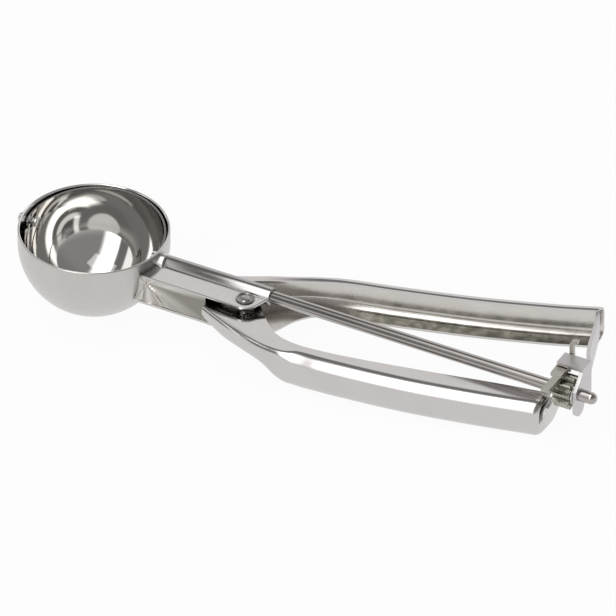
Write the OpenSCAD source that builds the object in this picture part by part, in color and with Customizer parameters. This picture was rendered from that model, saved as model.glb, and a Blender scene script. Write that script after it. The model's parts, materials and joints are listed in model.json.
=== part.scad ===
// Squeeze-handle ice cream scoop in stainless steel.
// A bowl and its fixed handle carry a shaft. Squeezing the lever turns the shaft
// through a rack and pinion, and the blade on the shaft sweeps the ball out of the bowl.
// All modules draw in the tool's frame: origin at the centre of the bowl's sphere,
// +X along the shaft to the handles, +Y from the lever to the fixed handle,
// +Z out of the bowl's mouth. lay_down() then puts the tool on the table.

/* [Bowl] */
// Outside diameter of the bowl
bowl_d = 56; // [50:1:62]
// Wall of the bowl
bowl_wall = 0.9; // [0.7:0.1:1.2]
// Height of the straight collar above the sphere's centre
collar_h = 5.5; // [3:0.5:7]

/* [Scraper] */
// Width of the blade
blade_w = 6.4; // [5:0.2:8]
// Thickness of the blade
blade_t = 0.7; // [0.5:0.1:0.9]
// Gap between the blade and the bowl
blade_gap = 0.35; // [0.3:0.05:0.5]
// Angle of the resting blade above the sphere's centre
blade_rest = 5; // [3:1:7]

/* [Shaft] */
// Diameter of the shaft
shaft_d = 4.6; // [4:0.1:5]
// Length of the shaft's tip behind the rear bracket
shaft_tail = 6.8; // [5.2:0.2:9]
// Radial running clearance of the shaft and the pivots
run_gap = 0.05; // [0.03:0.01:0.08]

/* [Grips] */
// Length from the bowl's centre to the end of the lever's grip
lever_end = 187; // [184:0.5:190]
// Length from the bowl's centre to the end of the fixed grip
fixed_end = 180.4; // [178:0.2:183]
// Thickness of the handle sheet
sheet = 1.0; // [0.8:0.1:1.2]
// Drop from the shaft's axis to the top of both grips
grip_drop = 3.5; // [3.4:0.1:4]
// Depth of the lever's grip
grip_depth = 14.7; // [13:0.1:16]
// Width of the lever's grip
lever_w = 11; // [9:0.5:12]
// Radius of the grips' long edges
grip_r = 4.8; // [3.5:0.1:5.2]

/* [Neck] */
// Width of the neck from its near wall to the shaft's axis
neck_w = 12; // [11:0.5:13]
// Depth of the neck below the shaft's axis
neck_depth = 11.7; // [11:0.1:13]
// Height of the top plate's upper face above the shaft's axis
plate_z = 1; // [0.8:0.1:1.4]
// End of the neck's near wall
near_wall_end = 49; // [46:0.5:49.5]

/* [Pivot] */
// Distance from the bowl's centre to the pivot rivet along the shaft
pivot_x = 66.5; // [65:0.5:68]
// Distance from the shaft's axis to the pivot rivet
pivot_y = 6.9; // [6.5:0.1:7.5]
// Diameter of the rivet's shank
rivet_d = 3.8; // [3.5:0.1:3.9]
// Diameter of the rivet's head
rivet_head_d = 7.4; // [6.5:0.1:8]

/* [Spring] */
// Wire of the return spring
wire_d = 0.8; // [0.6:0.1:0.8]
// Inside diameter of the spring's coil
coil_id = 5; // [4.8:0.1:5]
// Length of the spring's legs
leg_len = 4.6; // [3.6:0.2:4.8]

/* [Gear] */
// Module of the teeth
gear_m = 1.1; // [1.08:0.01:1.12]
// Teeth on the pinion
pinion_teeth = 10; // [10:1:10]
// Gap between the lever's closed end and the pinion
pinion_gap = 3; // [2.6:0.1:3.4]
// Width of the pinion
pinion_w = 6.6; // [6:0.2:7]
// Pressure angle of the teeth
press_ang = 28; // [26:1:30]
// Play between the teeth
backlash = 0.3; // [0.2:0.05:0.4]
// Teeth on the rack
rack_teeth = 6; // [6:1:7]
// Width of the rack's teeth over the pinion
rack_face = 2.4; // [2:0.2:3]
// Thickness of the rack's back above the teeth
rack_back = 1.5; // [1.2:0.1:1.6]
// Thickness of the rack's side plate
rack_plate = 1.4; // [1.2:0.1:1.6]
// Height of the upturned stop above the rack
stop_h = 8; // [5:0.5:9]

/* [Bracket] */
// Thickness of the rear bracket
bracket_t = 1.4; // [1.2:0.1:1.6]
// Width of the bearing tongue round the shaft
tongue_w = 6.8; // [6.4:0.2:7.6]
// Depth of the bearing tongue below the shaft's axis
tongue_depth = 9.2; // [8:0.2:10]
// Length of the guide tab over the rack
tab_len = 10.8; // [9:0.2:11]
// Width of the guide tab
tab_w = 6.6; // [6:0.2:7]

/* [Hidden] */
$fn = 96;

// Bowl and shaft
bowl_r = bowl_d / 2;
bowl_ri = bowl_r - bowl_wall;
shaft_r = shaft_d / 2;
bore_r = shaft_r + run_gap;
tube_r = bore_r + sheet;
weld_gap = 0.05;
bush_len = 2.2;
bush_r = tube_r + 0.4;
tube_start = bowl_r + bush_len + 0.7;
tube_end = pivot_x + 7.5;
knob_r = 2.3;
knob_h = 3.6;
pin_r = 1.4;

// Grips, seen from above as distances from the shaft's axis
lever_cap = 2;
lever_tip = pivot_x - 13.5;
lever_top = -grip_drop;
lever_bottom = -grip_drop - grip_depth;
lever_out = [[lever_tip, 13.1], [pivot_x, 19.8], [82, 24.2], [98, 25.2], [118, 23.6],
             [140, 20.8], [164, 16.2], [lever_end, 10.9]];
lever_in = [[lever_tip, 11.9], [61, 13.4], [pivot_x + 1.5, 12.8], [76, 9.8], [79.5, 12.2],
            [84, 15.2], [90, 16.9], [98, 17.1], [114, 15], [140, 9.9], [168, 3.9],
            [lever_end, 0.2]];
lever_foot = [[lever_tip, -6.4], [62, -8.2], [74, -9.2], [82, -11], [88, -14.8],
              [95, lever_bottom + 0.3], [104, lever_bottom], [lever_end, lever_bottom]];
lever_bend = [[lever_tip, 1.5], [80, 1.6], [92, 3.4], [104, grip_r], [lever_end, grip_r]];
lever_floor = [[lever_tip, 0], [86, 0], [98, 3.5], [108, lever_w - sheet - 1],
               [lever_end, lever_w - sheet - 1]];

// Rest on the table: the bowl's bottom and the ends of both grips touch it
rest_reach = norm([lever_end, lever_bottom]);
tilt = asin(bowl_r / rest_reach) - atan(-lever_bottom / lever_end);
function table_z(x) = -(bowl_r - x * sin(tilt)) / cos(tilt);

fixed_bottom = table_z(fixed_end);
fixed_w = 8.6;
fixed_top_w = 5.2;
fixed_out = [[30, 3], [50, 3.3], [58, 6.4], [69, 15.4], [81, 24.4], [90.5, 29.4], [108, 34.3],
             [137, 42.5], [165, 52], [fixed_end, 58.2]];
fixed_top = [[30, plate_z - 0.2], [56, plate_z - 0.2], [76, -2.6], [90, -grip_drop],
             [fixed_end, -grip_drop]];
fixed_flange = [[30, 4], [90, fixed_top_w], [fixed_end, fixed_top_w]];
fixed_foot = [[30, -neck_depth], [58, -neck_depth - 0.2], [74, -13.6], [90, -17.6],
              [104, fixed_bottom], [fixed_end, fixed_bottom]];
fixed_floor = [[30, 3 + neck_w], [50, 3.3 + neck_w], [58, 18.2], [66.5, 23.6], [72, 26.4], [76, 22.6],
               [79, 15.5], [84, 10.4], [92, fixed_w], [fixed_end, fixed_w]];
fixed_bend = [[30, 1.6], [56, 1.8], [76, 2.6], [96, grip_r - 0.6], [fixed_end, grip_r - 0.6]];

// Pivot stack from the top plate down
pivot = [pivot_x, -pivot_y, 0];
plate_bottom = plate_z - sheet;
eye_top = lever_top - 0.7;
eye_bottom = eye_top - sheet;
eye_r = 7.2;
stack_gap = 0.1;
floor_top = curve(fixed_foot, pivot_x) + sheet;
floor_bottom = floor_top - sheet;
bush_r_out = coil_id / 2 - 0.1;
spacer_r = 4;
pad_r = rivet_head_d / 2 + 1.2;
head_h = 1.1;
coil_turns = 2.5;
side_gap = 0.35;

// Gear
pinion_x = lever_end + lever_cap + pinion_gap;
pitch_r = gear_m * pinion_teeth / 2;
addendum = 0.8 * gear_m;
root_gap = 0.15 * gear_m;
pinion_ra = pitch_r + addendum;
pinion_rf = pitch_r - addendum - root_gap;
base_r = pitch_r * cos(press_ang);
pitch_len = PI * gear_m;
tooth_t = pitch_len / 2 - backlash / 2;
mesh_x = pinion_x + rack_face / 2;
rack_r = mesh_x - pivot_x;
rack_step = pitch_len / rack_r * 180 / PI;
rack_root_z = pitch_r + addendum + root_gap;
rack_top_z = rack_root_z + rack_back;
rack_in = rack_r - rack_face / 2 - 0.6 - rack_plate;
rack_out = rack_r + rack_face / 2 + 0.2;

// Bracket
washer_t = 0.6;
tongue_x = pinion_x + pinion_w + washer_t + 2 * stack_gap;
shaft_end = tongue_x + bracket_t + shaft_tail;
tab_z = rack_top_z + side_gap;
arm_top = 4.2;
arm_low = -5;
tab_y = 8.7;
stop_y = tab_y + 0.3;
bracket_line = [[tongue_x + bracket_t / 2, tab_y - 0.1], [tongue_x - 2, 13.5],
                [tongue_x - 6, 20.5], [fixed_end + 9.3, 29], [fixed_end + 6, 37.5],
                [fixed_end + 2.6, 46.5], [fixed_end, 53]];

// The tool's place on the table
knob_tip = bowl_r + knob_h;
mid_x = cos(tilt) * (shaft_end - knob_tip) / 2;
lever_len = lever_end - lever_tip;
widest_near = max([bowl_r, for (i = [0:60]) curve(lever_out, lever_tip + lever_len * i / 60)]);
widest_back = curve(fixed_out, fixed_end);
mid_y = (widest_back - widest_near) / 2;

// Smooth curve through points given as [x, value], by cubic pieces
function piece(p, x) = max([0, for (i = [0:len(p) - 2]) if (x >= p[i][0]) i]);
function rise(p, i) = let (a = max(i - 1, 0), b = min(i + 1, len(p) - 1))
    (p[b][1] - p[a][1]) / (p[b][0] - p[a][0]);
function curve(p, x) = let (
    i = piece(p, x),
    h = p[i + 1][0] - p[i][0],
    t = min(max((x - p[i][0]) / h, 0), 1))
    p[i][1] * (2 * pow(t, 3) - 3 * t * t + 1) + rise(p, i) * h * (pow(t, 3) - 2 * t * t + t)
    + p[i + 1][1] * (3 * t * t - 2 * pow(t, 3)) + rise(p, i + 1) * h * (pow(t, 3) - t * t);

// Points of an arc in the plane, from angle a0 to a1
function arc(c, r, a0, a1, n = 6) = [for (i = [0:n]) let (a = a0 + (a1 - a0) * i / n)
    [c[0] + r * cos(a), c[1] + r * sin(a)]];

// Folded channel section: [distance in from the web, height], outside then inside
function channel(w_top, w_bot, top, bottom, r_top, r_bot) = let (
    i_top = max(r_top - sheet, 0.4),
    i_bot = max(r_bot - sheet, 0.4),
    flange_top = max(w_top, sheet + i_top + 0.1),
    flange_bot = max(w_bot, sheet + i_bot + 0.1))
    concat(
        [[max(flange_top, r_top + 0.1), top]],
        arc([r_top, top - r_top], r_top, 90, 180),
        arc([r_bot, bottom + r_bot], r_bot, 180, 270),
        [[max(flange_bot, r_bot + 0.1), bottom], [max(flange_bot, r_bot + 0.1), bottom + sheet]],
        arc([sheet + i_bot, bottom + sheet + i_bot], i_bot, 270, 180),
        arc([sheet + i_top, top - sheet - i_top], i_top, 180, 90),
        [[max(flange_top, r_top + 0.1), top - sheet]]);

// Skin over rings of equal point counts, closed at both ends
module loft(rings) {
    n = len(rings[0]);
    m = len(rings);
    sides = [for (i = [0:m - 2], j = [0:n - 1])
        [i * n + j, (i + 1) * n + j, (i + 1) * n + (j + 1) % n, i * n + (j + 1) % n]];
    ends = [[for (j = [0:n - 1]) j], [for (j = [n - 1:-1:0]) (m - 1) * n + j]];
    polyhedron([for (r = rings, p = r) p], concat(sides, ends), convexity = 10);
}

// Section with its open side closed by a straight line
function closed(s) = let (n = len(s), m = n / 2)
    [for (i = [0:n - 1]) i <= m ? s[i] : s[m] + (s[n - 1] - s[m]) * (i - m) / (n - 1 - m)];

// Section drawn in by inset on all sides
function drawn_in(s, inset) = let (
    y = [for (p = s) p[0]],
    z = [for (p = s) p[1]],
    mid = [max(y) + min(y), max(z) + min(z)] / 2,
    k = [1 - 2 * inset / (max(y) - min(y)), 1 - 2 * inset / (max(z) - min(z))])
    [for (p = s) [mid[0] + (p[0] - mid[0]) * k[0], mid[1] + (p[1] - mid[1]) * k[1]]];

// Channel along a grip: its web lies at out(x) from the shaft's axis.
// A cap of radius cap_r closes its end.
module grip(x0, x1, steps, out, w_top, foot, top, floor_w, bend, cap_r = 0) {
    cap_steps = 5;
    x_open = cap_r > 0 ? x1 - sheet : x1;
    function section(x) = let (
        r = curve(bend, x),
        z0 = curve(foot, x),
        z1 = curve(top, x))
        channel(curve(w_top, x), curve(floor_w, x), z1, z0, r, min(r, (z1 - z0) / 2 - 0.3));
    function placed(x, s) = [for (k = [len(s) - 1:-1:0]) [x, curve(out, x) - s[k][0], s[k][1]]];
    open_rings = [for (i = [0:steps]) let (x = x0 + (x_open - x0) * i / steps) placed(x, section(x))];
    cap_rings = [for (i = [0:cap_steps]) let (a = 90 * i / cap_steps)
        placed(x1 + cap_r * sin(a), drawn_in(closed(section(x1)), cap_r * (1 - cos(a))))];
    loft(cap_r > 0 ? concat(open_rings, cap_rings) : open_rings);
}

// Thin wall along a smooth line in plan, upright
module wall_along(line, t, z0, z1) {
    n = 28;
    y0 = line[0][1];
    y1 = line[len(line) - 1][1];
    swapped = [for (p = line) [p[1], p[0]]];
    mids = [for (i = [0:n]) let (y = y0 + (y1 - y0) * i / n) [curve(swapped, y), y]];
    function side(i) = let (a = mids[max(i - 1, 0)], b = mids[min(i + 1, n)], d = (b - a) / norm(b - a))
        [d[1], -d[0]] * t / 2;
    translate([0, 0, z0])
        linear_extrude(z1 - z0)
            polygon(concat([for (i = [0:n]) mids[i] + side(i)], [for (i = [n:-1:0]) mids[i] - side(i)]));
}

// Cylinder along the shaft
module along_x(r, x0, x1) {
    translate([x0, 0, 0])
        rotate([0, 90, 0])
            cylinder(r = r, h = x1 - x0);
}

// Puts the tool on the table, with the origin below the middle of its box
module lay_down() {
    translate([-mid_x, -mid_y, bowl_r])
        rotate([0, tilt, 0])
            children();
}

// Turns its children about the lever's pivot
module about_pivot(a) {
    translate(pivot)
        rotate([0, 0, a])
            translate(-pivot)
                children();
}

// Deep drawn bowl: a half sphere with a straight collar
module bowl() color("silver") lay_down() {
    rim_r = bowl_wall / 2;
    difference() {
        rotate_extrude() {
            difference() {
                intersection() {
                    circle(r = bowl_r);
                    translate([0, -bowl_r])
                        square([bowl_r, bowl_r]);
                }
                circle(r = bowl_ri);
            }
            translate([bowl_ri, 0])
                square([bowl_wall, collar_h - rim_r]);
            translate([bowl_r - rim_r, collar_h - rim_r])
                circle(r = rim_r, $fn = 24);
        }
        along_x(bore_r, bowl_ri - 2, bowl_r + 2);
        along_x(pin_r + 0.02, -bowl_r - 2, -bowl_ri + 2);
    }
}

// Pivot of the blade's far end, riveted in the bowl's wall with a round head outside
module far_pivot_pin() color("gainsboro") lay_down() {
    inner = bowl_ri - blade_gap - blade_t - 1.1;
    mirror([1, 0, 0]) {
        along_x(pin_r, inner, bowl_r + 1.3);
        along_x(pin_r + 0.6, inner - 0.6, inner);
        difference() {
            translate([bowl_r + knob_h - knob_r, 0, 0])
                sphere(r = knob_r);
            along_x(knob_r + 1, bowl_r - knob_r * 2, bowl_r + weld_gap);
        }
        along_x(knob_r, bowl_r + weld_gap, bowl_r + knob_h - knob_r);
    }
}

// Ring brazed to the bowl where the shaft goes in
module shaft_bush() color("gainsboro") lay_down() {
    difference() {
        along_x(bush_r, bowl_r - 1, bowl_r + bush_len);
        sphere(r = bowl_r + weld_gap);
        cylinder(r = bowl_r + weld_gap, h = collar_h);
        along_x(bore_r, bowl_r - 2, bowl_r + bush_len + 1);
    }
}

// Outline of the top plate with its round end about the rivet
module plate_outline() {
    end_r = neck_w - pivot_y + 0.6;
    start = bowl_r - 8;
    polygon(concat(
        [[start, 0], [start, -neck_w]],
        [[pivot_x - 14, -neck_w - 0.2]],
        arc([pivot_x, -pivot_y], end_r, 262, 330, 10),
        [[tube_end, -2.4], [tube_end, 0]]));
}

// Neck, rolled shaft tube and fixed grip: one folded sheet welded to the bowl
module fixed_handle() color("silver") lay_down() {
    wall_top = plate_z - sheet / 2;
    wall_foot = -neck_depth + 0.3;
    start = bowl_r - 8;
    difference() {
        union() {
            grip(start, fixed_end, 50, fixed_out, fixed_flange, fixed_foot, fixed_top, fixed_floor,
                 fixed_bend);
            translate([0, 0, plate_bottom])
                linear_extrude(sheet)
                    plate_outline();
            translate([0, -neck_w + sheet / 2, 0])
                rotate([90, 0, 0])
                    linear_extrude(sheet)
                        polygon([[start, wall_top], [near_wall_end - 1, wall_top],
                                 [near_wall_end, wall_foot * 0.4], [near_wall_end + 1.5, wall_foot],
                                 [start, wall_foot]]);
            translate([start, -neck_w + sheet / 2, -neck_depth + 0.2])
                cube([12, neck_w + 1, sheet - 0.3]);
            along_x(tube_r, tube_start, tube_end);
            translate([pivot_x, -pivot_y, floor_bottom])
                cylinder(r = pad_r, h = sheet);
        }
        sphere(r = bowl_r + weld_gap);
        along_x(bush_r + 0.15, bowl_r - 2, tube_start);
        along_x(bore_r, bowl_r - 2, tube_end + 12);
        translate(pivot) {
            cylinder(d = rivet_d + 2 * weld_gap, h = 60, center = true);
            translate([0, 0, plate_z])
                cylinder(d = rivet_head_d + 0.3, h = head_h + 3);
            translate([0, 0, floor_top])
                cylinder(r = pad_r, h = 2);
            translate([0, 0, floor_bottom - 3])
                cylinder(r = pad_r, h = 3);
        }
    }
}

// Bearing plate, guide tab and arm: one strip welded inside the fixed grip's end
module rear_bracket() color("lightgray") lay_down() {
    tongue_near = -tongue_w / 2;
    low_r = tongue_w / 2;
    difference() {
        union() {
            translate([tongue_x, 0, 0])
                rotate([90, 0, 90])
                    linear_extrude(bracket_t)
                        polygon(concat(
                            [[tab_y, arm_low], [tab_y, tab_z], [tab_y - tab_w, tab_z],
                             [tongue_near, 2.6]],
                            arc([0, -tongue_depth + low_r], low_r, 180, 360, 16),
                            [[low_r, -2.4]]));
            translate([tongue_x + bracket_t - tab_len, tab_y - tab_w, tab_z])
                cube([tab_len, tab_w, bracket_t]);
            intersection() {
                wall_along(bracket_line, bracket_t, -20, 10);
                rotate([90, 0, 90])
                    linear_extrude(300)
                        polygon([[tab_y - 0.1, arm_top], [20, 3.2], [40, -3],
                                 [50, lever_top - sheet - 0.1], [60, lever_top - sheet - 0.1],
                                 [60, fixed_bottom + sheet + 0.1], [50, -14.6], [30, -11.6],
                                 [14, -8], [tab_y - 0.1, arm_low]]);
            }
        }
        along_x(bore_r, tongue_x - 1, tongue_x + bracket_t + 1);
    }
}

// Rivet that holds the lever between the top plate and the floor of the neck
module pivot_rivet() color("gray") lay_down() translate(pivot) {
    rim = 0.5;
    rotate_extrude()
        polygon([[0, plate_z + head_h * 0.55], [rivet_head_d * 0.28, plate_z + head_h * 0.55],
                 [rivet_head_d * 0.36, plate_z + head_h],
                 [rivet_head_d / 2 - rim, plate_z + head_h],
                 [rivet_head_d / 2, plate_z + rim], [rivet_head_d / 2, plate_z + weld_gap],
                 [rivet_d / 2, plate_z + weld_gap], [rivet_d / 2, floor_bottom - weld_gap],
                 [rivet_head_d / 2, floor_bottom - weld_gap],
                 [rivet_head_d / 2 - rim, floor_bottom - head_h],
                 [0, floor_bottom - head_h]]);
}

// Ring round the rivet
module ring(r_in, r_out, z0, z1) {
    translate([0, 0, z0])
        difference() {
            cylinder(r = r_out, h = z1 - z0);
            translate([0, 0, -1])
                cylinder(r = r_in, h = z1 - z0 + 2);
        }
}

// Bush that the spring's coil sits on, above the lever
module spring_bush() color("gainsboro") lay_down() translate(pivot)
    ring(rivet_d / 2 + weld_gap, bush_r_out, eye_top + stack_gap, plate_bottom - weld_gap);

// Spacer below the lever, on the neck's floor
module lever_spacer() color("gainsboro") lay_down() translate(pivot)
    ring(rivet_d / 2 + weld_gap, spacer_r, floor_top + weld_gap, eye_bottom - stack_gap);

// Torsion spring round the bush: one leg on the lever, one on the fixed handle
module return_spring() color("dimgray") lay_down() translate(pivot) {
    mean_r = (coil_id + wire_d) / 2;
    z_low = eye_top + side_gap + wire_d / 2;
    lift = plate_bottom - eye_top - wire_d - 2 * side_gap;
    steps = 60;
    sides = 8;
    turn = 360 * coil_turns;
    path = concat(
        [[mean_r, -leg_len, z_low], [mean_r, -leg_len / 2, z_low]],
        [for (i = [0:steps]) let (a = turn * i / steps)
            [mean_r * cos(a), mean_r * sin(a), z_low + lift * i / steps]],
        [[-mean_r, -leg_len / 2, z_low + lift], [-mean_r, -leg_len, z_low + lift]]);
    n = len(path);
    loft([for (i = [0:n - 1]) let (
        d = path[min(i + 1, n - 1)] - path[max(i - 1, 0)],
        f = d / norm(d),
        s = cross(f, [0, 0, 1]) / norm(cross(f, [0, 0, 1])),
        u = cross(s, f))
        [for (j = [0:sides - 1]) let (a = j * 360 / sides)
            path[i] + wire_d / 2 * (s * cos(a) - u * sin(a))]]);
}

// Moving grip with its pivot eye, a folded channel with a closed round end
module squeeze_lever() color("silver") lay_down() {
    flange = [for (p = lever_in) [p[0], curve(lever_out, p[0]) - p[1]]];
    top = [[lever_tip, lever_top], [lever_end, lever_top]];
    difference() {
        union() {
            mirror([0, 1, 0])
                grip(lever_tip, lever_end, 56, lever_out, flange, lever_foot, top, lever_floor,
                     lever_bend, lever_cap);
            translate([0, 0, eye_bottom])
                linear_extrude(sheet)
                    polygon(concat(
                        arc([pivot_x, -pivot_y], eye_r, -20, 200, 24),
                        [[lever_tip + 2.5, -13.4], [pivot_x - 5, -14.8], [pivot_x + 2, -14.4],
                         [pivot_x + 9.1, -11.2]]));
        }
        translate(pivot)
            cylinder(r = rivet_d / 2 + run_gap, h = 40, center = true);
    }
}

// One tooth of the rack, over the pinion
module rack_tooth() {
    half_tip = tooth_t / 2 - addendum * tan(press_ang);
    half_root = tooth_t / 2 + (addendum + root_gap + 0.2) * tan(press_ang);
    translate([mesh_x - rack_face / 2 - 0.4, 0, pitch_r])
        rotate([90, 0, 90])
            linear_extrude(rack_face + 0.4)
                polygon([[-half_tip, -addendum], [half_tip, -addendum],
                         [half_root, addendum + root_gap + 0.2], [-half_root, addendum + root_gap + 0.2]]);
}

// Sector of a ring about the lever's pivot, in plan
module pivot_sector(r0, r1, a0, a1) {
    translate([pivot_x, -pivot_y])
        polygon(concat(arc([0, 0], r1, a0, a1, 16), arc([0, 0], r0, a1, a0, 16)));
}

// Rack over the pinion, with a side plate that comes round the shaft from the lever's end
module rack() color("lightgray") lay_down() {
    mesh_a = asin(pivot_y / rack_r);
    near_a = mesh_a - (rack_teeth - 1.15) * rack_step + rack_step;
    far_a = asin((stop_y + bracket_t + pivot_y) / rack_r);
    back_a = asin((pivot_y - 2.5) / rack_r);
    rack_far = stop_y + bracket_t;
    mouth_y = shaft_r + 2.2;
    cut = 60;
    for (j = [0:rack_teeth - 1])
        about_pivot(-(j - 1) * rack_step)
            translate([0, pitch_len / 2, 0])
                rack_tooth();
    translate([0, 0, rack_root_z])
        linear_extrude(rack_back)
            union() {
                pivot_sector(rack_in, rack_out, back_a, far_a);
                pivot_sector(rack_r - rack_face / 2 - 0.4, rack_out, near_a, far_a);
            }
    difference() {
        linear_extrude(cut, center = true)
            pivot_sector(rack_in, rack_in + rack_plate, -1.2, far_a);
        translate([mesh_x - cut / 2, 0, 0])
            rotate([90, 0, 90])
                linear_extrude(cut)
                    difference() {
                        square(2 * cut, center = true);
                        polygon([[-8.6, -12.6], [-3, -12.6], [3.4, -9.4], [rack_far, -6],
                                 [rack_far, rack_root_z + 0.2], [-2, rack_root_z + 0.2],
                                 [1, rack_root_z - 1.6], [mouth_y, 3.2], [mouth_y, -2.6],
                                 [1, lever_top + 0.3], [-7, lever_top - 1.6],
                                 [-8.6, lever_top - 3.2]]);
                    }
    }
    translate([mesh_x, stop_y + bracket_t, rack_root_z])
        rotate([90, 0, 0])
            linear_extrude(bracket_t)
                polygon(concat([[-1.6, 0]],
                               arc([1.2, rack_back + stop_h - 2.8], 2.8, 180, 75, 10),
                               arc([1.2, rack_back + stop_h - 2.8], 1.2, 75, 180, 10), [[0, 0]]));
}

// Shaft with a round tip behind the bracket
module shaft() color("silver") lay_down() {
    along_x(shaft_r, bowl_ri - 2.6, shaft_end - shaft_r);
    translate([shaft_end - shaft_r, 0, 0])
        sphere(r = shaft_r);
}

// Involute flank: point at radius r on one side of a tooth centred on +Y
function inv(a) = tan(a) * 180 / PI - a;
function flank(r, side) = let (
    at_pitch = tooth_t / (2 * pitch_r) * 180 / PI,
    roll = r > base_r ? inv(acos(base_r / r)) : 0,
    a = 90 + side * (at_pitch + inv(press_ang) - roll))
    [r * cos(a), r * sin(a)];

// Ten-tooth pinion fixed on the shaft
module pinion() color("darkgray") lay_down() {
    steps = 5;
    rise_r = pinion_ra - base_r;
    hub_r = shaft_r + 1.6;
    difference() {
        union() {
            translate([pinion_x, 0, 0])
                rotate([90, 0, 90])
                    linear_extrude(pinion_w) {
                        circle(r = pinion_rf);
                        for (k = [0:pinion_teeth - 1])
                            rotate(k * 360 / pinion_teeth)
                                polygon(concat(
                                    [flank(pinion_rf - 0.3, 1)],
                                    [for (i = [0:steps]) flank(base_r + rise_r * i / steps, 1)],
                                    [for (i = [steps:-1:0]) flank(base_r + rise_r * i / steps, -1)],
                                    [flank(pinion_rf - 0.3, -1)]));
                    }
            along_x(hub_r, pinion_x - 0.5, pinion_x + pinion_w + 0.05);
        }
        along_x(shaft_r + 0.01, pinion_x - 2, pinion_x + pinion_w + 2);
    }
}

// Washer between the pinion and the bracket
module thrust_washer() color("gainsboro") lay_down() {
    difference() {
        along_x(shaft_r + 2, tongue_x - 0.1 - washer_t, tongue_x - 0.1);
        along_x(bore_r, pinion_x, tongue_x + 1);
    }
}

// Curved blade that sweeps the bowl, with a round eye at both ends
module scraper_blade() color("silver") lay_down() rotate([blade_rest, 0, 0]) {
    r_out = bowl_ri - blade_gap;
    r_in = r_out - blade_t;
    difference() {
        intersection() {
            difference() {
                sphere(r = r_out);
                sphere(r = r_in);
            }
            union() {
                translate([-bowl_r, 0, -blade_w / 2])
                    cube([bowl_d, bowl_r, blade_w]);
                along_x(blade_w / 2, -bowl_r, bowl_r);
            }
        }
        along_x(shaft_r + 0.01, 0, bowl_r);
        along_x(pin_r + run_gap, -bowl_r, 0);
    }
}

// Hub that clamps the blade's near eye on the shaft
module scraper_hub() color("gainsboro") lay_down() {
    outer = bowl_ri - blade_gap - blade_t - 0.35;
    hub_r = shaft_r + 0.9;
    difference() {
        along_x(hub_r, bowl_ri - 2.8, outer);
        along_x(shaft_r + 0.01, bowl_ri - 2.6, outer + 1);
    }
}

bowl();
fixed_handle();
rear_bracket();
shaft_bush();
far_pivot_pin();
pivot_rivet();
spring_bush();
return_spring();
lever_spacer();
squeeze_lever();
rack();
shaft();
pinion();
thrust_washer();
scraper_blade();
scraper_hub();
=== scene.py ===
import json
import math

import bmesh
import bpy
from mathutils import Matrix, Vector


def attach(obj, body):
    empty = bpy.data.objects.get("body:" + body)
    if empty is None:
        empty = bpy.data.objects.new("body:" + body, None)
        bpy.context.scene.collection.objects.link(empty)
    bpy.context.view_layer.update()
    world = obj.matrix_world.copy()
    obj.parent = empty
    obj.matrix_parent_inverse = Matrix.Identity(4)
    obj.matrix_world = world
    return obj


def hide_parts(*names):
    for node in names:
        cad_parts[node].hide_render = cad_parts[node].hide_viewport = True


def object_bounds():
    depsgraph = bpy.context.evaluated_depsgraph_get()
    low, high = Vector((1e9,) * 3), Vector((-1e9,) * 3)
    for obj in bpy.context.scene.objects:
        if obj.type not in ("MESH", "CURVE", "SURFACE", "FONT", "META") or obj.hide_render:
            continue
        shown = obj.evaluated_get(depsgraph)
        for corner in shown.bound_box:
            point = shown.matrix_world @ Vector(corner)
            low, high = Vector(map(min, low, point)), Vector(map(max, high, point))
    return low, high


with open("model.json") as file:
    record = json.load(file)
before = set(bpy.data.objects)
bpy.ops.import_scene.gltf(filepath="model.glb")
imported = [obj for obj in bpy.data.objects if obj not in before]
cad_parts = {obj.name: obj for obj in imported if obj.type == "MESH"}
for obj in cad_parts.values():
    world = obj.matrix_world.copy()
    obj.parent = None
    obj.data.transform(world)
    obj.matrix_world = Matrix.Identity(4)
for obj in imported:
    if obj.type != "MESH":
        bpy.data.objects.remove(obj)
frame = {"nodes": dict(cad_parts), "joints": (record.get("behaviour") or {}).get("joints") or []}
cad_low, cad_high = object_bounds()

# Bowl: stainless sheet deep drawn into a half sphere with a short straight collar and a
# ground rim, satin outside and polished like a mirror inside. The tool rests tilted, so each
# piece is made in the tool's own frame, from the centre of the bowl, and then laid down.
mm = 0.001
full_turn = 2 * math.pi
joints = {j["name"]: j for j in frame["joints"]}
shaft_line = Vector(joints["scraper_spin"]["axis"])
lay_down = Matrix.Translation(joints["scraper_spin"]["pos_m"]) @ Matrix.Rotation(
    math.atan2(-shaft_line.z, shaft_line.x), 4, "Y"
)
bowl_r = 28 * mm
bowl_wall = 0.9 * mm
bowl_inner = bowl_r - bowl_wall
collar_top = 5.5 * mm


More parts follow.
